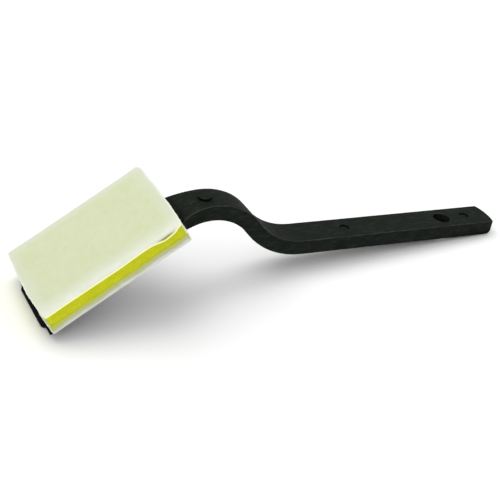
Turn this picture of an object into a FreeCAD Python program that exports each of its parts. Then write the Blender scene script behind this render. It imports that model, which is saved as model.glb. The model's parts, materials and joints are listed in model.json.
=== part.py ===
import FreeCAD
import Part
import Sketcher
import math
import os

# Squeegee applicator: a moulded gooseneck handle whose head plate carries a foam pad
# wrapped in a nonwoven cover sheet.
#
# Every sub-part is drawn in the tool frame, in millimetres. Its origin is on the handle's
# top face, where the flat head meets the arch. +X runs from the head towards the grip,
# +Z is square to the head plate and points at the working face, and XZ is the mirror plane.
# One placement then stands the tool on its plate tip and its grip end, working face up.

# ---------------------------------------------------------------- driving dimensions
SIZES = [
    ("handle_width", 19.0),
    ("handle_thickness", 8.9),
    ("grip_length", 134.3),
    ("grip_droop_angle", 35.2),
    ("bend_angle", 49.6),
    ("bend_radius", 39.3),
    ("arch_radius", 36.9),
    ("grip_end_radius", 29.0),
    ("grip_heel_radius", 3.0),
    ("handle_lower_radius", 0.9),
    ("handle_edge_radius", 0.4),
    ("spine_taper_angle", 10.0),
    ("spine_end_depth", 1.0),
    ("plate_width", 38.5),
    ("plate_tip_reach", 85.6),
    ("plate_tip_depth", 1.4),
    ("plate_corner_radius", 4.0),
    ("web_thickness", 4.0),
    ("web_angle", 33.0),
    ("web_flare_radius", 55.0),
    ("shoulder_radius", 5.0),
    ("seat_height", 0.8),
    ("seat_inset", 1.3),
    ("seat_shoulder", 6.5),
    ("seat_nose_reach", 3.9),
    ("seat_nose_width", 21.6),
    ("seat_nose_radius", 48.0),
    ("hanging_hole_diameter", 10.5),
    ("hanging_hole_inset", 33.8),
    ("hole_rim_radius", 0.4),
    ("ejector_mark_diameter", 6.0),
    ("ejector_mark_depth", 0.7),
    ("first_mark_distance", 31.8),
    ("second_mark_distance", 117.1),
    ("gate_nub_diameter", 7.0),
    ("gate_nub_height", 1.1),
    ("gate_nub_angle", 31.0),
    ("tape_thickness", 0.4),
    ("tape_width", 35.0),
    ("tape_length", 80.0),
    ("backing_thickness", 0.8),
    ("backing_width", 56.6),
    ("backing_length", 82.6),
    ("backing_overhang", 2.0),
    ("pad_length", 81.0),
    ("pad_width", 59.3),
    ("pad_height", 11.2),
    ("pad_setback", 0.3),
    ("pad_corner_radius", 1.6),
    ("cover_thickness", 0.5),
    ("bond_thickness", 0.2),
    ("cover_start_height", 4.8),
    ("cover_end_inset", 0.3),
    ("start_strip_width", 3.0),
    ("free_strip_width", 9.0),
    ("base_strip_width", 40.0),
    ("strip_length", 79.0),
]

doc = FreeCAD.newDocument("squeegee_applicator")
sheet = doc.addObject("Spreadsheet::Sheet", "sizes")
for row, (alias, value) in enumerate(SIZES, start=1):
    sheet.set("A%d" % row, alias)
    sheet.set("B%d" % row, str(value))
    sheet.setAlias("B%d" % row, alias)
doc.recompute()


def size(alias):
    """The number in the sheet's cell of that name."""
    return float(sheet.get(alias))


def vec(x, z):
    """A point of a sketch, from its two coordinates."""
    return FreeCAD.Vector(x, z, 0)


# ---------------------------------------------------------------- sketch and feature helpers
def new_body(label):
    body = doc.addObject("PartDesign::Body", label)
    body.Label = label
    return body


def origin_plane(body, role):
    return [feature for feature in body.Origin.OriginFeatures if feature.Role == role][0]


def new_sketch(body, name, plane, offset=None):
    """A sketch on one of the body's own origin planes, moved by offset if one is given."""
    sketch = body.newObject("Sketcher::SketchObject", name)
    sketch.AttachmentSupport = [(origin_plane(body, plane), "")]
    sketch.MapMode = "FlatFace"
    if offset is not None:
        sketch.AttachmentOffset = offset
    return sketch


def bind(sketch, name, constraint, cell):
    """Add a driving constraint and tie its value to an expression of the sheet."""
    index = sketch.addConstraint(constraint)
    sketch.renameConstraint(index, name)
    sketch.setExpression("Constraints." + name, cell)


def line(start, end):
    return Part.LineSegment(start, end)


def arc(centre, radius, from_degrees, to_degrees):
    """A counter-clockwise arc between two directions seen from its centre."""
    circle = Part.Circle(centre, FreeCAD.Vector(0, 0, 1), radius)
    return Part.ArcOfCircle(circle, math.radians(from_degrees), math.radians(to_degrees))


def symmetric_pad(body, name, sketch, length_cell):
    pad = body.newObject("PartDesign::Pad", name)
    pad.Profile = sketch
    pad.SideType = "Symmetric"
    pad.setExpression("Length", length_cell)
    return pad


def cut_through(body, name, sketch):
    """Remove a sketch's outline from the whole height of the body."""
    pocket = body.newObject("PartDesign::Pocket", name)
    pocket.Profile = sketch
    pocket.SideType = "Two sides"
    pocket.Type = "ThroughAll"
    pocket.Type2 = "ThroughAll"
    return pocket


def round_edges(body, name, radius_cell, chosen):
    """Fillet the edges of the body's present shape for which chosen(edge) is true."""
    doc.recompute()
    base = body.Tip
    edges = ["Edge%d" % (i + 1) for i, edge in enumerate(base.Shape.Edges) if chosen(edge)]
    fillet = body.newObject("PartDesign::Fillet", name)
    fillet.Base = (base, edges)
    fillet.setExpression("Radius", radius_cell)
    return fillet


def closed_outline(sketch, corners):
    """Draw a closed outline through corners given as sheet expressions for their two coordinates.

    The side leaving a corner is straight. If the corner also gives a radius expression, that
    side is an arc bulging to the right of the way round, or to the left for a minus sign.
    """
    points = [vec(sheet.evalExpression(c[0]), sheet.evalExpression(c[1])) for c in corners]
    ends = []
    for number, corner in enumerate(corners):
        start = points[number]
        end = points[(number + 1) % len(points)]
        if len(corner) == 2:
            index = sketch.addGeometry(line(start, end))
            ends.append((index, 1, 2))
            continue
        radius = sheet.evalExpression(corner[2])
        chord = end - start
        rise = math.sqrt(radius ** 2 - (chord.Length / 2) ** 2)
        left = FreeCAD.Vector(-chord.y, chord.x, 0).normalize()
        centre = (start + end) * 0.5 + left * math.copysign(rise, radius)
        first, last = (start, end) if radius > 0 else (end, start)
        first_angle = math.degrees(math.atan2(first.y - centre.y, first.x - centre.x))
        last_angle = math.degrees(math.atan2(last.y - centre.y, last.x - centre.x))
        index = sketch.addGeometry(arc(centre, abs(radius), first_angle, last_angle))
        ends.append((index, 1, 2) if radius > 0 else (index, 2, 1))
        bind(sketch, "radius_%d" % number, Sketcher.Constraint("Radius", index, abs(radius)),
             "abs(%s)" % corner[2])
    for number, (index, start_end, _) in enumerate(ends):
        before, _, before_end = ends[number - 1]
        sketch.addConstraint(Sketcher.Constraint("Coincident", before, before_end, index, start_end))
        place = points[number]
        for axis, kind, value in ((0, "DistanceX", place.x), (1, "DistanceY", place.y)):
            bind(sketch, "%s_%d" % ("xy"[axis], number),
                 Sketcher.Constraint(kind, -1, 1, index, start_end, value), corners[number][axis])


# ---------------------------------------------------------------- gooseneck geometry
TURN = size("bend_angle") + size("grip_droop_angle")
ARCH_CENTRE = vec(0, -size("arch_radius"))


def polar(centre, radius, degrees):
    """The point at that radius from a centre, in the direction turned clockwise from +Z."""
    angle = math.radians(degrees)
    return centre + vec(radius * math.sin(angle), radius * math.cos(angle))


BEND_CENTRE = polar(ARCH_CENTRE, size("arch_radius") + size("bend_radius"), TURN)
GRIP_START = polar(BEND_CENTRE, size("bend_radius"), 180 + size("grip_droop_angle"))
GRIP_ALONG = polar(vec(0, 0), 1, 90 + size("grip_droop_angle"))
GRIP_UP = polar(vec(0, 0), 1, size("grip_droop_angle"))


def gooseneck_outline(body):
    """The handle's side view: spine under the plate, arch, lower bend and straight grip."""
    sketch = new_sketch(body, "gooseneck_outline", "XZ_Plane")
    thickness = size("handle_thickness")
    droop = size("grip_droop_angle")
    taper = size("spine_taper_angle")
    arch_under = size("arch_radius") - thickness
    bend_under = size("bend_radius") + thickness
    grip_end = GRIP_START + GRIP_ALONG * size("grip_length")
    under_start = GRIP_START - GRIP_UP * thickness
    under_end = grip_end - GRIP_UP * thickness
    spine_root = polar(ARCH_CENTRE, arch_under, taper)
    spine_depth = size("spine_end_depth")
    spine_run = (-spine_depth - spine_root.y) / math.tan(math.radians(taper))
    spine_end = vec(spine_root.x - spine_run, -spine_depth)

    head_top = sketch.addGeometry(line(vec(spine_end.x, 0), vec(0, 0)))
    arch_top = sketch.addGeometry(arc(ARCH_CENTRE, size("arch_radius"), 90 - TURN, 90))
    bend_top = sketch.addGeometry(arc(BEND_CENTRE, size("bend_radius"), 270 - TURN, 270 - droop))
    grip_top = sketch.addGeometry(line(GRIP_START, grip_end))
    grip_butt = sketch.addGeometry(line(grip_end, under_end))
    grip_under = sketch.addGeometry(line(under_end, under_start))
    bend_low = sketch.addGeometry(arc(BEND_CENTRE, bend_under, 270 - TURN, 270 - droop))
    arch_low = sketch.addGeometry(arc(ARCH_CENTRE, arch_under, 90 - TURN, 90 - taper))
    spine_low = sketch.addGeometry(line(spine_root, spine_end))
    spine_face = sketch.addGeometry(line(spine_end, vec(spine_end.x, 0)))

    rule = Sketcher.Constraint
    sketch.addConstraint([
        rule("Coincident", head_top, 2, -1, 1),
        rule("Horizontal", head_top),
        rule("Tangent", head_top, 2, arch_top, 2),
        rule("Tangent", arch_top, 1, bend_top, 1),
        rule("Tangent", bend_top, 2, grip_top, 1),
        rule("Coincident", grip_top, 2, grip_butt, 1),
        rule("Perpendicular", grip_top, grip_butt),
        rule("Coincident", grip_butt, 2, grip_under, 1),
        rule("Perpendicular", grip_butt, grip_under),
        rule("Tangent", grip_under, 2, bend_low, 2),
        rule("Tangent", bend_low, 1, arch_low, 1),
        rule("Tangent", arch_low, 2, spine_low, 1),
        rule("Coincident", spine_low, 2, spine_face, 1),
        rule("Coincident", spine_face, 2, head_top, 1),
        rule("Vertical", spine_face),
        rule("Coincident", arch_top, 3, arch_low, 3),
        rule("Coincident", bend_top, 3, bend_low, 3),
    ])
    bind(sketch, "arch_radius", rule("Radius", arch_top, size("arch_radius")), "sizes.arch_radius")
    bind(sketch, "bend_radius", rule("Radius", bend_top, size("bend_radius")), "sizes.bend_radius")
    bind(sketch, "arch_turn", rule("Angle", arch_top, math.radians(TURN)),
         "(sizes.bend_angle + sizes.grip_droop_angle) * 1 deg")
    bind(sketch, "bend_turn", rule("Angle", bend_top, math.radians(size("bend_angle"))),
         "sizes.bend_angle * 1 deg")
    bind(sketch, "grip_length", rule("Distance", grip_top, size("grip_length")), "sizes.grip_length")
    bind(sketch, "thickness", rule("Distance", grip_butt, thickness), "sizes.handle_thickness")
    bind(sketch, "spine_taper", rule("Angle", spine_low, math.radians(180 - taper)),
         "(180 - sizes.spine_taper_angle) * 1 deg")
    bind(sketch, "spine_depth", rule("Distance", spine_face, spine_depth), "sizes.spine_end_depth")
    return sketch


def plate_outline(body):
    """The side view of the head plate and of the web that carries it over the start of the arch."""
    sketch = new_sketch(body, "plate_outline", "XZ_Plane")
    radius = size("arch_radius")
    web = size("web_thickness")
    web_angle = size("web_angle")
    tip = size("plate_tip_reach")
    tip_low = vec(-tip, -size("plate_tip_depth"))

    reach = radius * math.sin(math.radians(web_angle))
    inner_angle = math.degrees(math.asin(reach / (radius - web)))
    outer_end = polar(ARCH_CENTRE, radius, web_angle)
    inner_end = polar(ARCH_CENTRE, radius - web, inner_angle)

    top = sketch.addGeometry(line(vec(-tip, 0), vec(0, 0)))
    outer = sketch.addGeometry(arc(ARCH_CENTRE, radius, 90 - web_angle, 90))
    end = sketch.addGeometry(line(outer_end, inner_end))
    inner = sketch.addGeometry(arc(ARCH_CENTRE, radius - web, 90 - inner_angle, 90))
    low = sketch.addGeometry(line(vec(0, -web), tip_low))
    face = sketch.addGeometry(line(tip_low, vec(-tip, 0)))

    rule = Sketcher.Constraint
    sketch.addConstraint([
        rule("Coincident", top, 2, -1, 1),
        rule("Horizontal", top),
        rule("Tangent", top, 2, outer, 2),
        rule("Coincident", outer, 1, end, 1),
        rule("Vertical", end),
        rule("Coincident", end, 2, inner, 1),
        rule("Coincident", outer, 3, inner, 3),
        rule("Coincident", inner, 2, low, 1),
        rule("Vertical", inner, 2, -1, 1),
        rule("Coincident", low, 2, face, 1),
        rule("Vertical", face),
        rule("Coincident", face, 2, top, 1),
    ])
    bind(sketch, "arch_radius", rule("Radius", outer, radius), "sizes.arch_radius")
    bind(sketch, "web_radius", rule("Radius", inner, radius - web),
         "sizes.arch_radius - sizes.web_thickness")
    bind(sketch, "web_angle", rule("Angle", outer, math.radians(web_angle)),
         "sizes.web_angle * 1 deg")
    bind(sketch, "tip_reach", rule("Distance", top, tip), "sizes.plate_tip_reach")
    bind(sketch, "tip_depth", rule("Distance", face, size("plate_tip_depth")), "sizes.plate_tip_depth")
    return sketch


def neck_trim(body):
    """What is cut from one side of the plate, so that it flares smoothly out of the arm."""
    sketch = new_sketch(body, "neck_trim", "XY_Plane")
    arm = size("handle_width") / 2
    half_plate = size("plate_width") / 2
    flare_radius = size("web_flare_radius")
    shoulder_radius = size("shoulder_radius")
    reach = size("arch_radius") * math.sin(math.radians(size("web_angle")))
    swing = math.degrees(math.acos(1 - (half_plate - arm) / (flare_radius + shoulder_radius)))
    run = (flare_radius + shoulder_radius) * math.sin(math.radians(swing))
    shoulder_x = reach - run
    flare_centre = vec(reach, arm + flare_radius)
    shoulder_centre = vec(shoulder_x, half_plate - shoulder_radius)
    margin = size("plate_corner_radius")
    outer_start = vec(shoulder_x, half_plate + margin)
    outer_end = vec(reach + margin, half_plate + margin)
    inner_start = vec(reach + margin, arm)

    flare = sketch.addGeometry(arc(flare_centre, flare_radius, 270 - swing, 270))
    shoulder = sketch.addGeometry(arc(shoulder_centre, shoulder_radius, 90 - swing, 90))
    rise = sketch.addGeometry(line(vec(shoulder_x, half_plate), outer_start))
    outside = sketch.addGeometry(line(outer_start, outer_end))
    drop = sketch.addGeometry(line(outer_end, inner_start))
    arm_side = sketch.addGeometry(line(inner_start, vec(reach, arm)))

    rule = Sketcher.Constraint
    sketch.addConstraint([
        rule("Tangent", flare, 1, shoulder, 1),
        rule("Coincident", shoulder, 2, rise, 1),
        rule("Vertical", rise),
        rule("Vertical", shoulder, 3, shoulder, 2),
        rule("Coincident", rise, 2, outside, 1),
        rule("Horizontal", outside),
        rule("Coincident", outside, 2, drop, 1),
        rule("Vertical", drop),
        rule("Coincident", drop, 2, arm_side, 1),
        rule("Horizontal", arm_side),
        rule("Tangent", arm_side, 2, flare, 2),
    ])
    bind(sketch, "flare_radius", rule("Radius", flare, flare_radius), "sizes.web_flare_radius")
    bind(sketch, "shoulder_radius", rule("Radius", shoulder, shoulder_radius), "sizes.shoulder_radius")
    bind(sketch, "web_reach", rule("DistanceX", -1, 1, flare, 2, reach),
         "sizes.arch_radius * sin(sizes.web_angle)")
    bind(sketch, "arm_half", rule("DistanceY", -1, 1, flare, 2, arm), "sizes.handle_width / 2")
    bind(sketch, "plate_half", rule("DistanceY", -1, 1, shoulder, 2, half_plate),
         "sizes.plate_width / 2")
    bind(sketch, "margin_out", rule("DistanceY", rise, 1, rise, 2, margin), "sizes.plate_corner_radius")
    bind(sketch, "margin_on", rule("DistanceX", flare, 2, drop, 2, margin), "sizes.plate_corner_radius")
    return sketch


def seat_corners():
    """The raised seat's plan: inset from the plate all round, with a shallow nose over the arm."""
    half = "(sizes.plate_width / 2 - sizes.seat_inset)"
    back = "-(sizes.plate_tip_reach - sizes.seat_inset)"
    nose = "sizes.seat_nose_width / 2"
    nose_drop = "sizes.seat_nose_radius - sqrt(sizes.seat_nose_radius ^ 2 - (%s) ^ 2)" % nose
    nose_x = "sizes.seat_nose_reach - (%s)" % nose_drop
    return [
        (back, "-1 * " + half),
        ("-sizes.seat_shoulder", "-1 * " + half),
        (nose_x, "-" + nose, "sizes.seat_nose_radius"),
        (nose_x, nose),
        ("-sizes.seat_shoulder", half),
        (back, half),
    ]


def grip_end_corners():
    """What is cut off the grip's free end to leave it slightly convex in plan."""
    reach = "(sizes.handle_width * 0.6)"
    drop = "-1 * (sizes.grip_end_radius - sqrt(sizes.grip_end_radius ^ 2 - %s ^ 2))" % reach
    clear = "sizes.grip_heel_radius"
    return [
        (drop, "-1 * " + reach, "sizes.grip_end_radius"),
        (drop, reach),
        (clear, reach),
        (clear, "-1 * " + reach),
    ]


def grip_plane(distance):
    """Where a sketch lies flat on the grip's top face, that far along the grip from the bend."""
    place = GRIP_START + GRIP_ALONG * distance
    turn = FreeCAD.Rotation(FreeCAD.Vector(0, 1, 0), size("grip_droop_angle"))
    return FreeCAD.Placement(FreeCAD.Vector(place.x, 0, place.y), turn)


def arch_plane(degrees):
    """Where a sketch lies on the arch's top face, that far round from the head."""
    place = polar(ARCH_CENTRE, size("arch_radius"), degrees)
    turn = FreeCAD.Rotation(FreeCAD.Vector(0, 1, 0), degrees)
    return FreeCAD.Placement(FreeCAD.Vector(place.x, 0, place.y), turn)


def round_sketch(body, name, diameter_cell, offset):
    sketch = new_sketch(body, name, "XY_Plane", offset)
    radius = sheet.evalExpression(diameter_cell) / 2
    index = sketch.addGeometry(Part.Circle(vec(0, 0), FreeCAD.Vector(0, 0, 1), radius))
    sketch.addConstraint(Sketcher.Constraint("Coincident", index, 3, -1, 1))
    bind(sketch, "radius", Sketcher.Constraint("Radius", index, radius), diameter_cell + " / 2")
    return sketch


# ---------------------------------------------------------------- the moulded handle
def on_plate_corner(edge):
    """The upright edges at the two corners of the plate's tip."""
    box = edge.BoundBox
    upright = box.XLength < 0.01 and box.YLength < 0.01
    return upright and box.XMax < 0.1 - size("plate_tip_reach")


def on_grip_end(edge):
    """The two upright corners of the grip's free end."""
    butt = GRIP_START + GRIP_ALONG * size("grip_length")
    middle = edge.BoundBox.Center
    close = abs((vec(middle.x, middle.z) - butt).dot(GRIP_ALONG)) < size("grip_heel_radius")
    return close and abs(middle.y) > size("handle_width") / 2 - 0.1 and edge.BoundBox.YLength < 0.1


def on_grip_butt(edge, depth):
    """The curved edge across the grip's free end, that far below its top face."""
    middle = edge.BoundBox.Center
    place = GRIP_START + GRIP_ALONG * size("grip_length") - GRIP_UP * depth
    return edge.BoundBox.YLength > 1 and (vec(middle.x, middle.z) - place).Length < 1


def on_upper_butt(edge):
    return on_grip_butt(edge, 0)


def on_lower_butt(edge):
    return on_grip_butt(edge, size("handle_thickness"))


def on_hole_rim(edge):
    """The two round edges of the hanging hole."""
    return edge.Curve.TypeId == "Part::GeomCircle" and abs(
        edge.Curve.Radius - size("hanging_hole_diameter") / 2) < 0.01


def make_handle():
    body = new_body("handle")

    symmetric_pad(body, "plate", plate_outline(body), "sizes.plate_width")
    trim = neck_trim(body)
    doc.recompute()
    neck = cut_through(body, "far_neck", trim)
    doc.recompute()
    both = body.newObject("PartDesign::Mirrored", "both_necks")
    both.Originals = [neck]
    both.MirrorPlane = (origin_plane(body, "XZ_Plane"), [""])
    body.Tip = both
    round_edges(body, "plate_corners", "sizes.plate_corner_radius", on_plate_corner)
    symmetric_pad(body, "gooseneck", gooseneck_outline(body), "sizes.handle_width")

    end_sketch = new_sketch(body, "grip_end_outline", "XY_Plane", grip_plane(size("grip_length")))
    closed_outline(end_sketch, grip_end_corners())
    doc.recompute()
    cut_through(body, "grip_end", end_sketch)
    round_edges(body, "grip_heel", "sizes.grip_heel_radius", on_lower_butt)
    # These two fillets run on from the grip's end along every tangent edge.
    round_edges(body, "lower_edges", "sizes.handle_lower_radius", on_grip_end)
    round_edges(body, "upper_edges", "sizes.handle_edge_radius", on_upper_butt)

    seat_sketch = new_sketch(body, "seat_outline", "XY_Plane")
    closed_outline(seat_sketch, seat_corners())
    seat = body.newObject("PartDesign::Pad", "seat")
    seat.Profile = seat_sketch
    seat.SideType = "Two sides"
    seat.setExpression("Length", "sizes.seat_height")
    seat.setExpression("Length2", "sizes.plate_tip_depth / 2")

    hole_sketch = round_sketch(body, "hanging_hole_outline", "sizes.hanging_hole_diameter",
                               grip_plane(size("grip_length") - size("hanging_hole_inset")))
    doc.recompute()
    hole = body.newObject("PartDesign::Pocket", "hanging_hole")
    hole.Profile = hole_sketch
    hole.setExpression("Length", "sizes.handle_thickness * 1.5")
    round_edges(body, "hole_rim", "sizes.hole_rim_radius", on_hole_rim)

    for name in ("first_mark", "second_mark"):
        mark_sketch = round_sketch(body, name + "_outline", "sizes.ejector_mark_diameter",
                                   grip_plane(size(name + "_distance")))
        doc.recompute()
        mark = body.newObject("PartDesign::Pocket", name)
        mark.Profile = mark_sketch
        mark.setExpression("Length", "sizes.ejector_mark_depth")

    nub_sketch = round_sketch(body, "gate_nub_outline", "sizes.gate_nub_diameter",
                              arch_plane(size("gate_nub_angle")))
    doc.recompute()
    nub = body.newObject("PartDesign::Pad", "gate_nub")
    nub.Profile = nub_sketch
    nub.SideType = "Two sides"
    nub.setExpression("Length", "sizes.gate_nub_height")
    nub.setExpression("Length2", "sizes.gate_nub_height")
    doc.recompute()
    return body


# ---------------------------------------------------------------- levels and places in the head
SEAT_TOP = "sizes.seat_height"
BACKING_LOW = SEAT_TOP + " + sizes.tape_thickness"
PAD_LOW = BACKING_LOW + " + sizes.backing_thickness"
FOAM_INSET = "(sizes.cover_thickness + sizes.bond_thickness)"
PAD_TIP_X = "-(sizes.pad_setback + sizes.pad_length)"
PAD_MIDDLE_X = "-(sizes.pad_setback + sizes.pad_length / 2)"


def new_block(label, low_corner, extent):
    """A rectangular layer, from sheet expressions for its lowest corner and its three sizes."""
    block = doc.addObject("Part::Box", label)
    block.Label = label
    for side, expression in zip(("Length", "Width", "Height"), extent):
        block.setExpression(side, expression)
    corner = [float(sheet.evalExpression(expression)) for expression in low_corner]
    block.Placement = FreeCAD.Placement(FreeCAD.Vector(*corner), FreeCAD.Rotation())
    return block


def make_layers():
    """The mounting tape, the stiff backing and the three bonding strips inside the wrap."""
    strip_x = PAD_MIDDLE_X + " - sizes.strip_length / 2"
    tape_x = PAD_MIDDLE_X + " - sizes.tape_length / 2"
    backing_x = PAD_TIP_X + " - sizes.backing_overhang"
    foam_side = "(sizes.pad_width / 2 - %s)" % FOAM_INSET
    return [
        new_block("mounting_tape",
                  (tape_x, "-sizes.tape_width / 2", SEAT_TOP),
                  ("sizes.tape_length", "sizes.tape_width", "sizes.tape_thickness")),
        new_block("backing_sheet",
                  (backing_x, "-sizes.backing_width / 2", BACKING_LOW),
                  ("sizes.backing_length", "sizes.backing_width", "sizes.backing_thickness")),
        new_block("base_strip",
                  (strip_x, "-sizes.base_strip_width / 2", PAD_LOW + " + sizes.cover_thickness"),
                  ("sizes.strip_length", "sizes.base_strip_width", "sizes.bond_thickness")),
        new_block("start_strip",
                  (strip_x, "-1 * %s - sizes.bond_thickness" % foam_side,
                   PAD_LOW + " + sizes.pad_corner_radius"),
                  ("sizes.strip_length", "sizes.bond_thickness", "sizes.start_strip_width")),
        new_block("free_strip",
                  (strip_x, "-1 * %s + sizes.pad_corner_radius" % foam_side,
                   PAD_LOW + " + sizes.pad_height - %s" % FOAM_INSET),
                  ("sizes.strip_length", "sizes.free_strip_width", "sizes.bond_thickness")),
    ]


def extruded_along_pad(body, name, corners):
    """Pad an outline, drawn square to the head, over the whole length of the pad."""
    tip = FreeCAD.Placement(FreeCAD.Vector(0, 0, sheet.evalExpression(PAD_TIP_X)), FreeCAD.Rotation())
    sketch = new_sketch(body, name + "_outline", "YZ_Plane", tip)
    closed_outline(sketch, corners)
    pad = body.newObject("PartDesign::Pad", name + "_length")
    pad.Profile = sketch
    pad.setExpression("Length", "sizes.pad_length")
    doc.recompute()
    return body


def make_foam_core():
    half = "(sizes.pad_width / 2 - %s)" % FOAM_INSET
    low = "(%s + %s)" % (PAD_LOW, FOAM_INSET)
    high = "(%s + sizes.pad_height - %s)" % (PAD_LOW, FOAM_INSET)
    rounding = "(sizes.pad_corner_radius - %s)" % FOAM_INSET
    return extruded_along_pad(new_body("foam_core"), "foam", [
        ("-%s + %s" % (half, rounding), low),
        ("%s - %s" % (half, rounding), low, rounding),
        (half, "%s + %s" % (low, rounding)),
        (half, "%s - %s" % (high, rounding), rounding),
        ("%s - %s" % (half, rounding), high),
        ("-%s + %s" % (half, rounding), high, rounding),
        ("-" + half, "%s - %s" % (high, rounding)),
        ("-" + half, "%s + %s" % (low, rounding), rounding),
    ])


def make_cover_sheet():
    """The wrap: up from the near side's lower half, under, round the far side and over the face."""
    side = "(sizes.pad_width / 2)"
    inner_side = "(sizes.pad_width / 2 - sizes.cover_thickness)"
    low = "(%s)" % PAD_LOW
    inner_low = "(%s + sizes.cover_thickness)" % PAD_LOW
    high = "(%s + sizes.pad_height)" % PAD_LOW
    inner_high = "(%s + sizes.pad_height - sizes.cover_thickness)" % PAD_LOW
    outer = "sizes.pad_corner_radius"
    inner = "(sizes.pad_corner_radius - sizes.cover_thickness)"
    start = "(%s + sizes.cover_start_height)" % PAD_LOW
    end = "(%s - sizes.cover_end_inset)" % side
    straight = "(%s - %s)" % (side, outer)
    bend_low = "(%s + %s)" % (low, outer)
    bend_high = "(%s - %s)" % (high, outer)
    return extruded_along_pad(new_body("cover_sheet"), "cover", [
        ("-" + side, start),
        ("-" + side, bend_low, outer),
        ("-" + straight, low),
        (straight, low, outer),
        (side, bend_low),
        (side, bend_high, outer),
        (straight, high),
        ("-" + end, high),
        ("-" + end, inner_high),
        (straight, inner_high, "-" + inner),
        (inner_side, bend_high),
        (inner_side, bend_low, "-" + inner),
        (straight, inner_low),
        ("-" + straight, inner_low, "-" + inner),
        ("-" + inner_side, bend_low),
        ("-" + inner_side, start),
    ])


# ---------------------------------------------------------------- resting placement and files
def resting_placement(shapes):
    """Stand the tool on the plate's tip and the grip's rounded heel, centred over the origin."""
    heel = size("grip_heel_radius")
    grip_low_end = GRIP_START + GRIP_ALONG * size("grip_length") - GRIP_UP * size("handle_thickness")
    heel_centre = grip_low_end - GRIP_ALONG * heel + GRIP_UP * heel
    tip = vec(-size("plate_tip_reach"), -size("plate_tip_depth"))
    span = heel_centre - tip
    tilt = math.atan2(span.y, span.x) - math.asin(heel / span.Length)
    turn = FreeCAD.Rotation(FreeCAD.Vector(0, 1, 0), math.degrees(tilt))
    box = FreeCAD.BoundBox()
    for shape in shapes:
        box.add(shape.transformed(turn.toMatrix(), True).optimalBoundingBox())
    shift = FreeCAD.Vector(-box.Center.x, -box.Center.y, -box.ZMin)
    return FreeCAD.Placement(shift, turn)


def check(items):
    """Stop if any object of the document failed, or a sub-part has no sound solid."""
    for item in doc.Objects:
        if "Invalid" in item.State or "Error" in item.State:
            raise RuntimeError("%s is in error: %s" % (item.Label, item.State))
    for item in items:
        if item.Shape.isNull() or not item.Shape.isValid() or len(item.Shape.Solids) != 1:
            raise RuntimeError("%s has no sound solid" % item.Label)


sub_parts = [make_handle(), make_foam_core(), make_cover_sheet()] + make_layers()
doc.recompute()
check(sub_parts)
rest = resting_placement([item.Shape for item in sub_parts])
for item in sub_parts:
    item.Placement = rest.multiply(item.Placement)
doc.recompute()
check(sub_parts)

os.makedirs("parts", exist_ok=True)
for item in sub_parts:
    item.Shape.exportStep("parts/%s.step" % item.Label)
    box = item.Shape.optimalBoundingBox()
    print("%-14s %9.1f mm3  x %7.2f..%7.2f  y %6.2f..%6.2f  z %6.2f..%6.2f" % (
        item.Label, item.Shape.Volume, box.XMin, box.XMax, box.YMin, box.YMax, box.ZMin, box.ZMax))
print("head tilt %.3f degrees, origin moved by %s" % (math.degrees(rest.Rotation.Angle), rest.Base))
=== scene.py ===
import json
import math

import bpy
from mathutils import Matrix, Vector, noise
from mathutils.kdtree import KDTree


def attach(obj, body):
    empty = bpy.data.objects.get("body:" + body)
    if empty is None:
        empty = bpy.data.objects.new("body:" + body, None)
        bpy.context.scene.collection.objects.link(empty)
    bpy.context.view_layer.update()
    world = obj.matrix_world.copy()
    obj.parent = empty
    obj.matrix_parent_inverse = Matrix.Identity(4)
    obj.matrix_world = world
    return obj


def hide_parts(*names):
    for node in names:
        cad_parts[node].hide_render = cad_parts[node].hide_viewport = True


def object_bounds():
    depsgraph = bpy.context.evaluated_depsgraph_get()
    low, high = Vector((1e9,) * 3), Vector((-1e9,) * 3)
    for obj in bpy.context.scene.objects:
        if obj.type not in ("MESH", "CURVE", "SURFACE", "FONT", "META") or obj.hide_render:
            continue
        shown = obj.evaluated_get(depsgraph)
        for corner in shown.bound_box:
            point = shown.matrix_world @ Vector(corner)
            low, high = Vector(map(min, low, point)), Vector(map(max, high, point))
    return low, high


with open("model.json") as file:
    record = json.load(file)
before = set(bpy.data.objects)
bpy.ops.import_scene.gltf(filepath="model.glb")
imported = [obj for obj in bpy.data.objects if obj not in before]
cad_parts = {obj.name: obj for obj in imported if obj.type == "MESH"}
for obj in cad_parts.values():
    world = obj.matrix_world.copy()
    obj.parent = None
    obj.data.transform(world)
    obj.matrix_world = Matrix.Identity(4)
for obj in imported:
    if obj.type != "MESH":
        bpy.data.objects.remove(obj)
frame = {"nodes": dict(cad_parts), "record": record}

cad_low, cad_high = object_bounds()
MM = 0.001


# ---------------------------------------------------------------- the pad's own frame
# x runs from the tip end to the heel end, at the neck. y runs from the near long side, where the sheet's
# two edges lie, to the far one. z is 0 at the working face. Lengths are in millimetres.
FACE = next(m for m in frame["record"]["mounts"] if m["name"] == "working_face")
FACE_UP = Vector(FACE["axis"]).normalized()
FACE_ACROSS = Vector((0, 1, 0))
FACE_ALONG = FACE_ACROSS.cross(FACE_UP)
PAD = (Matrix.Translation(FACE["pos_m"])
       @ Matrix((FACE_ALONG, FACE_ACROSS, FACE_UP)).transposed().to_4x4())


def pad_extent(node):
    """Lowest and highest corner of a CAD node along the pad's own axes."""
    inverse = PAD.inverted()
    points = [inverse @ v.co / MM for v in frame["nodes"][node].data.vertices]
    return Vector(map(min, zip(*points))), Vector(map(max, zip(*points)))


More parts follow.
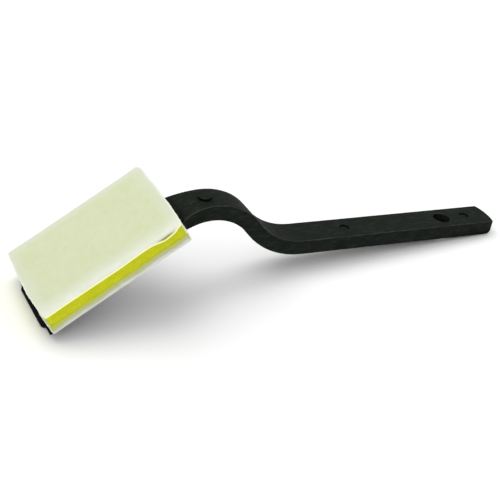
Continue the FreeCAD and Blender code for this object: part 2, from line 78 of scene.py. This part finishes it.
WRAP_LOW, WRAP_HIGH = pad_extent("cover_sheet")
HALF_LENGTH = WRAP_HIGH.x
HALF_WIDTH = WRAP_HIGH.y
HEIGHT = -WRAP_LOW.z
COVER_THICKNESS = 0.34
COVER_CLEARANCE = 0.04
FOAM_END_INSET = 0.7
FOAM_SIDE_INSET = COVER_THICKNESS + COVER_CLEARANCE
FOAM_INSET = Vector((FOAM_END_INSET, FOAM_SIDE_INSET, FOAM_SIDE_INSET))
FOAM_LOW = WRAP_LOW + FOAM_INSET
FOAM_HIGH = WRAP_HIGH - FOAM_INSET


def smooth(low, high, value):
    """0 at low and beyond it, 1 at high and beyond it, eased in between."""
    t = min(1.0, max(0.0, (value - low) / (high - low)))
    return t * t * (3 - 2 * t)


def hump(value, middle, spread):
    """1 at the middle, falling away on both sides."""
    return math.exp(-((value - middle) / spread) ** 2)


def hand_cut(p):
    """Where a point of the true block lies on the real pad, whose ends are cut by hand."""
    across = p.y / HALF_WIDTH
    depth = -p.z / HEIGHT
    bow = 1 - across * across
    near = smooth(0.75, 1.0, -across)
    far = smooth(0.3, 1.0, across)

    # The tip end is cut askew, bows out in the middle, and leans out below.
    tip = smooth(-0.45 * HALF_LENGTH, -HALF_LENGTH, p.x)
    askew = smooth(0.1, 1.0, -across)
    near_corner = 0.8 * smooth(0.9, 1.0, -across)
    x = p.x + tip * (0.35 + 0.6 * across - 0.65 * bow + near_corner + 1.1 * askew)
    x -= tip * (0.8 + 0.3 * askew) * depth

    # The heel end bows out in the middle too, and its corners are cut back.
    heel = smooth(0.45 * HALF_LENGTH, HALF_LENGTH, p.x)
    heel_corners = 0.5 * smooth(0.9, 1.0, abs(across)) + 0.9 * smooth(0.85, 1.0, across)
    x += heel * (0.3 + 0.4 * across + 0.7 * bow - heel_corners)

    # The near side spreads towards its base. The far side stands out, and its top edge is raised.
    far_lift = 0.5 + 0.25 * smooth(0.7, 1.0, abs(p.x) / HALF_LENGTH)
    y = p.y - 1.4 * near * depth * depth + 1.3 * far
    z = p.z - 0.3 * near * depth + far_lift * far * (1 - depth)
    return Vector((x, y, z))


# ---------------------------------------------------------------- mesh helpers
def mesh_object(name, points, faces):
    mesh = bpy.data.meshes.new(name)
    mesh.from_pydata([tuple(p) for p in points], [], faces)
    mesh.update()
    made = bpy.data.objects.new(name, mesh)
    bpy.context.scene.collection.objects.link(made)
    return made


def apply_modifiers(piece):
    """Leave the piece with the mesh that its modifiers make."""
    bpy.context.view_layer.update()
    graph = bpy.context.evaluated_depsgraph_get()
    made = bpy.data.meshes.new_from_object(piece.evaluated_get(graph))
    piece.modifiers.clear()
    piece.data = made


def shade_smooth(piece):
    for face in piece.data.polygons:
        face.use_smooth = True


def grid_block(low, high, step):
    """Points and faces of a closed box of square cells."""
    counts = [round((high[i] - low[i]) / step) for i in range(3)]
    index = {}
    points = []
    faces = []

    def point(cell):
        key = tuple(cell)
        if key not in index:
            index[key] = len(points)
            points.append(Vector(low[i] + (high[i] - low[i]) * cell[i] / counts[i] for i in range(3)))
        return index[key]

    for axis in range(3):
        first, second = (axis + 1) % 3, (axis + 2) % 3
        for side in (0, counts[axis]):
            for i in range(counts[first]):
                for j in range(counts[second]):
                    ring = []
                    for di, dj in ((0, 0), (1, 0), (1, 1), (0, 1)):
                        cell = [0, 0, 0]
                        cell[axis], cell[first], cell[second] = side, i + di, j + dj
                        ring.append(point(cell))
                    faces.append(ring if side else ring[::-1])
    return points, faces


def rounded(p, low, high, radius):
    """Move a point of a box's surface on to the same box with rounded edges."""
    core = Vector(min(max(p[i], low[i] + radius), high[i] - radius) for i in range(3))
    out = p - core
    return core + out.normalized() * radius if out.length > radius else p


# ---------------------------------------------------------------- the foam pad
FOAM_STEP = 1.3
FOAM_ROUNDING = 1.1
SWELL_CAP = 0.9
SWELL_PRESSURE = 0.15
SWELL_FRAMES = 20
SKIN_STIFFNESS = 80
SIM_SCALE = 10.0
PITS = ((1.1, 0.16), (0.45, 0.12))


def swell(points, faces):
    """Puff a closed skin up with the cloth solver, its underside held flat, and return the new points."""
    block = mesh_object("foam_simulated", [p * MM * SIM_SCALE for p in points], faces)
    held = block.vertex_groups.new(name="held")
    held.add([i for i, p in enumerate(points) if p.z < FOAM_LOW.z + 0.1], 1.0, "REPLACE")
    settings = block.modifiers.new("cloth", "CLOTH").settings
    settings.quality = 5
    settings.use_pressure = True
    settings.uniform_pressure_force = SWELL_PRESSURE
    settings.tension_stiffness = SKIN_STIFFNESS
    settings.compression_stiffness = SKIN_STIFFNESS
    settings.shear_stiffness = SKIN_STIFFNESS
    settings.bending_stiffness = SKIN_STIFFNESS / 4
    settings.vertex_group_mass = "held"
    settings.effector_weights.gravity = 0.0
    scene = bpy.context.scene
    for number in range(1, SWELL_FRAMES + 1):
        scene.frame_set(number)
    graph = bpy.context.evaluated_depsgraph_get()
    result = [v.co / (MM * SIM_SCALE) for v in block.evaluated_get(graph).data.vertices]
    bpy.data.objects.remove(block)
    scene.frame_set(1)
    moved = []
    for before, after in zip(points, result):
        shift = after - before
        if shift.length > SWELL_CAP:
            shift = shift.normalized() * SWELL_CAP
        moved.append(before + shift)
    return moved


block_points, block_faces = grid_block(FOAM_LOW, FOAM_HIGH, FOAM_STEP)
foam_rest = [hand_cut(rounded(p, FOAM_LOW, FOAM_HIGH, FOAM_ROUNDING)) for p in block_points]
foam_points = swell(foam_rest, block_faces)

swell_tree = KDTree(len(foam_rest))
for number, rest_point in enumerate(foam_rest):
    swell_tree.insert(rest_point, number)
swell_tree.balance()


def swollen(p):
    """Carry a point near the foam along with the foam's swelling."""
    total = Vector((0, 0, 0))
    weight = 0.0
    for _, number, distance in swell_tree.find_n(p, 6):
        share = 1 / (0.3 + distance)
        total += (foam_points[number] - foam_rest[number]) * share
        weight += share
    return p + total / weight


def pit_sides(piece):
    """Roughen the foam near its sides with small pits and hollows."""
    moved = []
    for vertex in piece.data.vertices:
        here = vertex.co / MM
        side_depth = min(HALF_LENGTH - abs(here.x), HALF_WIDTH - abs(here.y))
        pits = sum(noise.noise(here * fineness) * size for fineness, size in PITS)
        moved.extend(vertex.co + vertex.normal * pits * MM * smooth(4.0, 1.5, side_depth))
    piece.data.vertices.foreach_set("co", moved)
    piece.data.update()


foam = mesh_object("foam_pad", [p * MM for p in foam_points], block_faces)
shade_smooth(foam)
subdivision = foam.modifiers.new("subdivision", "SUBSURF")
subdivision.levels = 1
subdivision.render_levels = 1
apply_modifiers(foam)
pit_sides(foam)
foam.matrix_world = PAD


# ---------------------------------------------------------------- the cover, one sheet round the foam
# The wrap starts low on the near side, goes down, under, up the far side, back over the top and a little
# way down the near side again.
WRAP_RADIUS = 1.7
START_HEIGHT = 5.0
CELL = 1.0
EDGE_RUN = 8
EDGE_ROWS = 16
EXTRA_ROWS = 10


def wrap_path():
    """The wrap's outline as straight and round runs, the last value of each being its length."""
    side, deep, r = HALF_WIDTH, HEIGHT, WRAP_RADIUS
    corners = [(-side, -deep), (side, -deep), (side, 0), (-side, 0), (-side, -deep)]
    runs = []
    here = Vector((-side, -deep + START_HEIGHT))
    for number, corner in enumerate(corners[:-1]):
        corner = Vector(corner)
        onward = (Vector(corners[number + 1]) - corner).normalized()
        inward = (corner - here).normalized()
        first = corner - inward * r
        runs.append(("line", here, inward, (first - here).length))
        runs.append(("turn", first + onward * r, -onward, inward, r * math.pi / 2))
        here = corner + onward * r
    runs.append(("line", here, Vector((0, -1)), deep - r))
    return runs


PATH = wrap_path()
TOP_END = sum(run[-1] for run in PATH[:-2])


def on_wrap(distance):
    """Position (y, z) and outward direction at that distance along the wrap."""
    for run in PATH:
        if distance <= run[-1] or run is PATH[-1]:
            break
        distance -= run[-1]
    if run[0] == "line":
        _, start, along, _ = run
        return start + along * distance, Vector((along.y, -along.x))
    _, centre, out, onward, length = run
    angle = distance / length * math.pi / 2
    direction = out * math.cos(angle) + onward * math.sin(angle)
    return centre + direction * WRAP_RADIUS, direction


# Where the free edge comes down further: (middle, measured from the heel end; spread; amount).
EDGE_WAVES = ((-79, 10, 0.65), (-63, 12, 0.4), (-38, 24, 1.0), (-15, 7, 0.3), (-9.5, 6, 1.45),
              (-4.2, 2.6, 0.65))


def free_edge(from_heel):
    """How far past the top near edge the sheet's free edge comes down."""
    return 1.1 + sum(amount * hump(from_heel, middle, spread) for middle, spread, amount in EDGE_WAVES)


def start_edge(x):
    """The start flap's wavy upper edge, as a distance along the wrap."""
    return 0.25 * noise.noise(Vector((x * 0.12, 3.1, 0))) + 0.2 * noise.noise(Vector((x * 0.5, 7.7, 0)))


def cover_margin(distance, side):
    """How far the sheet stands past the foam at that end."""
    wander = noise.noise(Vector((distance * 0.11, side * 5.3, 1.7)))
    nick = noise.noise(Vector((distance * 0.55, side * 5.3, 6.1)))
    return 0.45 + 0.25 * wander + 0.25 * nick


def lift(from_heel, inside):
    """How far the sheet stands off the foam, at that distance inside its free edge."""
    edge_lift = 0.05 + 0.6 * hump(from_heel, -9.5, 5.0) + 0.12 * hump(from_heel, -38, 9)
    return edge_lift * smooth(7, 0, inside) + 0.22 * smooth(0.9, 0, inside)


def valley(from_heel, inside):
    """How deep in the crease behind the lifted edge the sheet lies, from 0 to 1."""
    return hump(from_heel, -9.5, 4.5) * hump(inside, 0.85, 0.4)


def sink(end, distance, crease):
    """How far the sheet is pressed in: along its start flap, in the crease and at its cut ends."""
    flap = 0.3 * smooth(3.5, 0, distance) * smooth(1.0, 0.97, end)
    cut_end = 0.45 * smooth(0.975, 1.0, end) * smooth(3, 8, distance)
    return flap + 0.4 * crease + cut_end


def ripple(x, distance):
    """The small unevenness of the whole sheet."""
    broad = noise.noise(Vector((x * 0.16, distance * 0.16, 0)))
    fine = noise.noise(Vector((x * 0.5, distance * 0.5, 4)))
    return 0.07 * broad + 0.035 * fine


def along_wrap(row, rows, last):
    """Distance along the wrap of a row of points, the rows crowding towards the free edge."""
    anchor = TOP_END - EDGE_RUN
    if row <= rows - EDGE_ROWS:
        return row / (rows - EDGE_ROWS) * anchor
    share = (row - rows + EDGE_ROWS) / EDGE_ROWS
    return anchor + (last - anchor) * math.sin(share * math.pi / 2)


def cover_sheet():
    """Points, faces and, for each point, how near it is to the free edge, the cut end and the crease."""
    columns = round(2 * HALF_LENGTH / CELL)
    rows = round(TOP_END / CELL) + EXTRA_ROWS
    points = []
    marks = {"free_edge": [], "cut_end": [], "crease": []}
    for i in range(columns + 1):
        end_share = i / columns * 2 - 1
        end = abs(end_share)
        block_x = end_share * HALF_LENGTH
        from_heel = block_x - HALF_LENGTH
        last = TOP_END + free_edge(from_heel)
        for j in range(rows + 1):
            distance = along_wrap(j, rows, last)
            distance += start_edge(block_x) * smooth(6, 0, distance)
            flat, out = on_wrap(distance)
            margin = smooth(0.93, 1.0, end) * cover_margin(distance, math.copysign(1, end_share))
            x = block_x + math.copysign(margin, end_share)
            inside = last - distance
            crease = valley(from_heel, inside)
            off = lift(from_heel, inside) - sink(end, distance, crease) + ripple(x, distance)
            points.append(swollen(hand_cut(Vector((x, flat.x + out.x * off, flat.y + out.y * off)))))
            # the free edge mark drives a painted highlight in the material
            marks["free_edge"].append(smooth(0.7, 0.3, inside))
            # the cut end mark drives a painted highlight in the material
            marks["cut_end"].append(smooth(0.985, 0.998, end) * smooth(1, 8, distance))
            # the crease mark drives painted shade in the material
            marks["crease"].append(crease)
    faces = []
    width = rows + 1
    for i in range(columns):
        for j in range(rows):
            corner = i * width + j
            faces.append((corner, corner + 1, corner + width + 1, corner + width))
    return points, faces, marks


cover_points, cover_faces, cover_marks = cover_sheet()
cover = mesh_object("cover_wrap", [p * MM for p in cover_points], cover_faces)
for name, values in cover_marks.items():
    cover.data.attributes.new(name, "FLOAT", "POINT").data.foreach_set("value", values)
shade_smooth(cover)
thickness = cover.modifiers.new("thickness", "SOLIDIFY")
thickness.thickness = COVER_THICKNESS * MM
thickness.offset = -1.0
thickness.material_offset_rim = 1
apply_modifiers(cover)
cover.matrix_world = PAD


# ---------------------------------------------------------------- material helpers
def put(tree, kind, inputs=(), **properties):
    """A new node with its properties set and its inputs set or linked."""
    node = tree.nodes.new("ShaderNode" + kind)
    for name, value in properties.items():
        setattr(node, name, value)
    for name, value in dict(inputs).items():
        socket = node.inputs[name]
        if isinstance(value, bpy.types.NodeSocket):
            tree.links.new(value, socket)
        else:
            socket.default_value = value
    return node


def new_material(name, inputs):
    """A Principled material and its node tree, ready for links."""
    made = bpy.data.materials.new(name)
    made.use_nodes = True
    made.node_tree.nodes.clear()
    shader = put(made.node_tree, "BsdfPrincipled", inputs)
    put(made.node_tree, "OutputMaterial", {"Surface": shader.outputs[0]})
    return made, made.node_tree, shader


def link(tree, shader, **sockets):
    for name, value in sockets.items():
        tree.links.new(value, shader.inputs[name.replace("_", " ")])


def place(tree):
    return put(tree, "TexCoord").outputs["Object"]


def drawn_out(tree, where, scale):
    return put(tree, "Mapping", {"Vector": where, "Scale": scale}).outputs[0]


def mark(tree, name):
    """One of the values that the sheet's mesh carries at each point."""
    return put(tree, "Attribute", attribute_name=name).outputs["Fac"]


def grain(tree, where, scale, detail=3.0, roughness=0.55):
    """Noise whose features are about 1 / scale metres across."""
    return put(tree, "TexNoise", {"Vector": where, "Scale": scale, "Detail": detail,
                                  "Roughness": roughness}).outputs["Fac"]


def cells(tree, where, scale):
    """The distance from the middle of the cell that a place is in."""
    return put(tree, "TexVoronoi", {"Vector": where, "Scale": scale}).outputs["Distance"]


def level(tree, value, low, high, out_low=0.0, out_high=1.0):
    return put(tree, "MapRange", {"Value": value, "From Min": low, "From Max": high,
                                  "To Min": out_low, "To Max": out_high}).outputs["Result"]


def maths(tree, operation, first, second):
    return put(tree, "Math", {0: first, 1: second}, operation=operation).outputs[0]


def times(tree, first, *others):
    for other in others:
        first = maths(tree, "MULTIPLY", first, other)
    return first


def mixed(tree, share, first, second):
    node = put(tree, "Mix", {"Factor": share}, data_type="RGBA")
    for socket, value in ((node.inputs[6], first), (node.inputs[7], second)):
        if isinstance(value, bpy.types.NodeSocket):
            tree.links.new(value, socket)
        else:
            socket.default_value = (*value, 1)
    return node.outputs[2]


def layered(tree, base, *layers):
    """A base colour with others laid over it in turn, each given as (share, colour)."""
    for share, colour in layers:
        base = mixed(tree, share, base, colour)
    return base


def bump(tree, height, distance, strength, normal=None):
    inputs = {"Height": height, "Distance": distance, "Strength": strength}
    if normal:
        inputs["Normal"] = normal
    return put(tree, "Bump", inputs).outputs["Normal"]


# ---------------------------------------------------------------- materials
# Colour of the upper edges: partly wear, partly a painted highlight where the edges catch the light.
WORN_AND_HIGHLIT_PLASTIC = (0.055, 0.06, 0.052)
DUST = (0.14, 0.15, 0.12)
# Painted shade colour for hollows, recesses and places under other parts.
RECESS_SHADE = (0.0012, 0.0016, 0.0012)


def worn_and_highlit_edges(tree, mottle, amount):
    """Share of wear and painted highlight: most on the upper rounded edges, whose faces slant sideways and
    catch the light.
    """
    normal = put(tree, "TexCoord").outputs["Normal"]
    _, facing_side, facing_up = put(tree, "SeparateXYZ", {0: normal}).outputs
    slant = maths(tree, "ABSOLUTE", facing_side, 0)
    return times(tree, level(tree, slant, 0.2, 0.45), level(tree, slant, 0.97, 0.85),
                 level(tree, facing_up, 0.1, 0.4), amount, level(tree, mottle, 0.35, 0.6, 0.25, 1.0))


def dust_specks(tree, where):
    """Share of dust: a speck in the middle of a few of the cells."""
    dust = put(tree, "TexVoronoi", {"Vector": where, "Scale": 190})
    chosen = put(tree, "SeparateColor", {0: dust.outputs["Color"]}).outputs[0]
    speck = level(tree, dust.outputs["Distance"], 0.09, 0.03)
    return times(tree, speck, level(tree, chosen, 0.94, 0.95), 0.6)


def moulded_plastic(name, dark, light, polish, wear_and_highlight=1.0):
    """Black moulded plastic: fine grain, soft flow clouds, upper edges lightened as wear and painted
    highlight, painted shade in recesses and a few pale specks of dust.
    """
    made, tree, shader = new_material(name, {"Specular IOR Level": 0.03})
    where = place(tree)
    clouds = grain(tree, where, 160, 4)
    mottle = grain(tree, drawn_out(tree, where, (0.3, 1, 1)), 560, 3, 0.7)
    corners = put(tree, "AmbientOcclusion", {"Distance": 0.006}, samples=8).outputs["AO"]
    colour = layered(tree, dark,
                     (level(tree, clouds, 0.35, 0.7), light),
                     (level(tree, mottle, 0.5, 0.75, 0, 0.45), [2.8 * c for c in light]),
                     (level(tree, mottle, 0.45, 0.25, 0, 0.5), [0.3 * c for c in dark]),
                     # painted highlight and wear: the upper rounded edges are lightened
                     (worn_and_highlit_edges(tree, mottle, wear_and_highlight), WORN_AND_HIGHLIT_PLASTIC),
                     (dust_specks(tree, where), DUST),
                     # painted shade: ambient occlusion darkens the colour in hollows, recesses and under
                     # other parts
                     (level(tree, corners, 0.95, 0.6, 0, 0.9), RECESS_SHADE))
    fine = grain(tree, where, 1500, 2)
    link(tree, shader, Base_Color=colour,
         Roughness=level(tree, clouds, 0.3, 0.75, polish - 0.05, polish + 0.12),
         Normal=bump(tree, fine, 0.00012, 0.5, bump(tree, clouds, 0.0006, 0.25)))
    return made


def open_foam():
    """Yellow open-cell foam: fine cells, painted shade in the pits and slightly uneven colour."""
    made, tree, shader = new_material("yellow_foam", {"Roughness": 0.92, "Specular IOR Level": 0.2})
    where = place(tree)
    pores = cells(tree, where, 1150)
    # painted shade: the last layer darkens the middle of each pore
    colour = layered(tree, (0.555, 0.595, 0.008),
                     (level(tree, grain(tree, where, 130, 3), 0.3, 0.7), (0.63, 0.655, 0.017)),
                     (times(tree, level(tree, pores, 0.5, 0.12), 0.35), (0.40, 0.42, 0.0)))
    link(tree, shader, Base_Color=colour, Normal=bump(tree, pores, 0.0004, 0.6))
    return made


ON_FOAM = (0.545, 0.59, 0.36)
NEAR_MARGIN = (0.74, 0.76, 0.68)
OTHER_MARGIN = (0.61, 0.64, 0.55)
PALE_CLOUD = (0.61, 0.645, 0.47)
FIBRE = (0.80, 0.82, 0.74)
# Painted highlight colour for the sheet's cut rim.
CUT_RIM_HIGHLIGHT = (0.93, 0.94, 0.84)
# Painted highlight colour for the sheet's cut ends.
CUT_END_HIGHLIGHT = (0.95, 0.96, 0.86)
# Painted highlight colour for the sheet's free edge.
FREE_EDGE_HIGHLIGHT = (1.0, 1.0, 0.42)
# Painted shade colour for the crease behind the lifted free edge.
CREASE_SHADE = (0.22, 0.24, 0.03)
FLAP = (0.545, 0.585, 0.023)
FLAP_FADING = (0.30, 0.33, 0.19)


def lies_on_foam(tree, where, near_margin):
    """Share of the foam's colour that shows through the sheet: less towards the pad's margins."""
    x, y, _ = put(tree, "SeparateXYZ", {0: where}).outputs
    end_margin = level(tree, maths(tree, "ABSOLUTE", x, 0), HALF_LENGTH * MM, (HALF_LENGTH - 7) * MM)
    far_margin = level(tree, y, (HALF_WIDTH + 0.5) * MM, (HALF_WIDTH - 6) * MM)
    inside = times(tree, near_margin, far_margin, level(tree, end_margin, 0, 1, 0.35, 1))
    patches = grain(tree, where, 45, 2)
    return maths(tree, "ADD", inside, level(tree, patches, 0.3, 0.7, -0.12, 0.12))


def start_flap(tree, where):
    """Share of the start flap low on the near side, which is yellow where it is pressed on the foam."""
    _, y, z = put(tree, "SeparateXYZ", {0: where}).outputs
    near_side = level(tree, y, -(HALF_WIDTH - 3) * MM, -(HALF_WIDTH - 1) * MM)
    waver = level(tree, grain(tree, where, 110, 2), 0.3, 0.7, -0.0004, 0.0004)
    height = maths(tree, "ADD", maths(tree, "ADD", z, HEIGHT * MM), waver)
    low_down = level(tree, z, -4.6 * MM, -5.2 * MM)
    return times(tree, level(tree, height, 0.0015, 0.0043), near_side, low_down)


def nonwoven(name, rim):
    """Thin nonwoven sheet over yellow foam: greenish where it lies on it, whiter where it stands off, with
    painted highlights on its cut rim, cut ends and free edge and painted shade in the crease behind the
    lifted edge.
    """
    made, tree, shader = new_material(name, {"Roughness": 0.78, "Specular IOR Level": 0.3,
                                             "Sheen Weight": 0.15, "Sheen Roughness": 0.5})
    where = place(tree)
    fibres = put(tree, "TexNoise", {"Vector": drawn_out(tree, where, (1, 3.5, 3.5)), "Scale": 900,
                                    "Detail": 5, "Distortion": 1.5}).outputs["Fac"]
    clouds = grain(tree, where, 190, 4, 0.6)
    across = put(tree, "SeparateXYZ", {0: where}).outputs[1]
    near_margin = level(tree, across, -(HALF_WIDTH - 0.5) * MM, -(HALF_WIDTH - 12) * MM)
    flap = start_flap(tree, where)
    flap_fading = times(tree, flap, maths(tree, "SUBTRACT", 1.0, flap), 1.6)
    # painted highlight: on the rim material the sheet's cut edges are whitened
    surface = (0.75, CUT_RIM_HIGHLIGHT) if rim else (level(tree, fibres, 0.5, 0.75, 0, 0.2), FIBRE)
    colour = layered(tree, mixed(tree, near_margin, NEAR_MARGIN, OTHER_MARGIN),
                     (lies_on_foam(tree, where, near_margin), ON_FOAM),
                     (level(tree, clouds, 0.35, 0.7, 0, 0.45), PALE_CLOUD),
                     surface,
                     (flap, FLAP),
                     (flap_fading, FLAP_FADING),
                     # painted shade: the crease behind the lifted free edge is darkened to olive
                     (level(tree, mark(tree, "crease"), 0.15, 0.6), CREASE_SHADE),
                     # painted highlight: the sheet's cut ends are whitened
                     (times(tree, mark(tree, "cut_end"), 0.7), CUT_END_HIGHLIGHT),
                     # painted highlight: a bright pale yellow line along the sheet's free edge
                     (mark(tree, "free_edge"), FREE_EDGE_HIGHLIGHT))
    link(tree, shader, Base_Color=colour,
         Normal=bump(tree, fibres, 0.00015, 0.5, bump(tree, clouds, 0.0006, 0.2)))
    return made


def adhesive_film(name, base, warm):
    """A thin glue film with small trapped bubbles."""
    made, tree, shader = new_material(name, {"Roughness": 0.35, "Specular IOR Level": 0.45})
    where = place(tree)
    colour = mixed(tree, level(tree, grain(tree, where, 220), 0.3, 0.7), base, warm)
    link(tree, shader, Base_Color=colour, Normal=bump(tree, cells(tree, where, 700), 0.0002, 0.5))
    return made


def pale_floor():
    made, tree, shader = new_material("pale_floor", {"Roughness": 0.85, "Specular IOR Level": 0.1})
    tone = grain(tree, place(tree), 6, 2)
    link(tree, shader, Base_Color=mixed(tree, tone, (0.92, 0.92, 0.92), (0.94, 0.94, 0.94)))
    return made


def paint(piece, *materials):
    piece.data.materials.clear()
    for made in materials:
        piece.data.materials.append(made)


def repaint(node, made):
    """Give a CAD node's own material slots a detailed material."""
    for held in frame["nodes"][node].material_slots:
        held.material = made


handle_plastic = moulded_plastic("handle_plastic", (0.008, 0.0105, 0.0078), (0.0125, 0.0155, 0.012), 0.62)
backing_plastic = moulded_plastic("backing_plastic", (0.004, 0.004, 0.004), (0.008, 0.008, 0.008), 0.5, 0.3)
repaint("handle", handle_plastic)
repaint("backing_sheet", backing_plastic)
repaint("mounting_tape", adhesive_film("tape_film", (0.03, 0.03, 0.03), (0.06, 0.06, 0.055)))
glue = adhesive_film("glue_film", (0.66, 0.64, 0.38), (0.78, 0.76, 0.52))
for strip in ("base_strip", "start_strip", "free_strip"):
    repaint(strip, glue)
paint(foam, open_foam())
paint(cover, nonwoven("nonwoven_cover", False), nonwoven("nonwoven_edge", True))


# ---------------------------------------------------------------- what each piece stands for
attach(foam, "root")
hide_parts("foam_core")
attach(cover, "root")
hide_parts("cover_sheet")


# ---------------------------------------------------------------- floor, light and camera, in metres
FLOOR_REACH = 3.0
LIT_POINT = Vector((0, 0, 0.03))
SKY_BRIGHT_SIDE = (-0.45, 0.1, 0.88)
AZIMUTH, ELEVATION, ROLL = (math.radians(a) for a in (30.288, 32.151, 7.218))
LOOK_AT = Vector((-0.01182, 0.01000, 0.00508))
CAMERA_DISTANCE = 0.6316
LENS_MM = 81.52
SENSOR_MM = 36

floor_corners = [(x * FLOOR_REACH, y * FLOOR_REACH, cad_low.z)
                 for x, y in ((-1, -1), (1, -1), (1, 1), (-1, 1))]
floor = mesh_object("floor", floor_corners, [(0, 1, 2, 3)])
paint(floor, pale_floor())


def softbox(name, position, size, watts):
    light = bpy.data.lights.new(name, "AREA")
    light.shape = "DISK"
    light.size = size
    light.energy = watts
    made = bpy.data.objects.new(name, light)
    bpy.context.scene.collection.objects.link(made)
    made.location = position
    made.rotation_mode = "QUATERNION"
    made.rotation_quaternion = (LIT_POINT - Vector(position)).to_track_quat("-Z", "Y")


softbox("key_light", (-0.35, 0.55, 1.3), 1.3, 8)
softbox("camera_side_fill", (-0.9, -1.2, 0.9), 1.2, 3)
softbox("grip_end_light", (0.75, 0.35, 0.7), 0.5, 1.5)

world = bpy.data.worlds.new("studio")
bpy.context.scene.world = world
world.use_nodes = True
sky = world.node_tree
toward = put(sky, "VectorMath", {0: put(sky, "TexCoord").outputs["Generated"], 1: SKY_BRIGHT_SIDE},
             operation="DOT_PRODUCT").outputs["Value"]
glow = mixed(sky, level(sky, toward, -0.35, 0.95), (0.5, 0.5, 0.5), (0.92, 0.92, 0.92))
sky.links.new(glow, sky.nodes["Background"].inputs["Color"])
bpy.context.scene.view_settings.view_transform = "Standard"

look = Vector((math.sin(AZIMUTH) * math.cos(ELEVATION), math.cos(AZIMUTH) * math.cos(ELEVATION),
               -math.sin(ELEVATION)))
camera = bpy.data.objects.new("camera", bpy.data.cameras.new("camera"))
bpy.context.scene.collection.objects.link(camera)
camera.data.lens = LENS_MM
camera.data.sensor_width = SENSOR_MM
camera.data.clip_start = 0.01
camera.location = LOOK_AT - look * CAMERA_DISTANCE
camera.rotation_mode = "QUATERNION"
camera.rotation_quaternion = (Matrix.Rotation(-ROLL, 3, look) @ look.to_track_quat("-Z", "Y").to_matrix()
                              ).to_quaternion()
bpy.context.scene.camera = camera
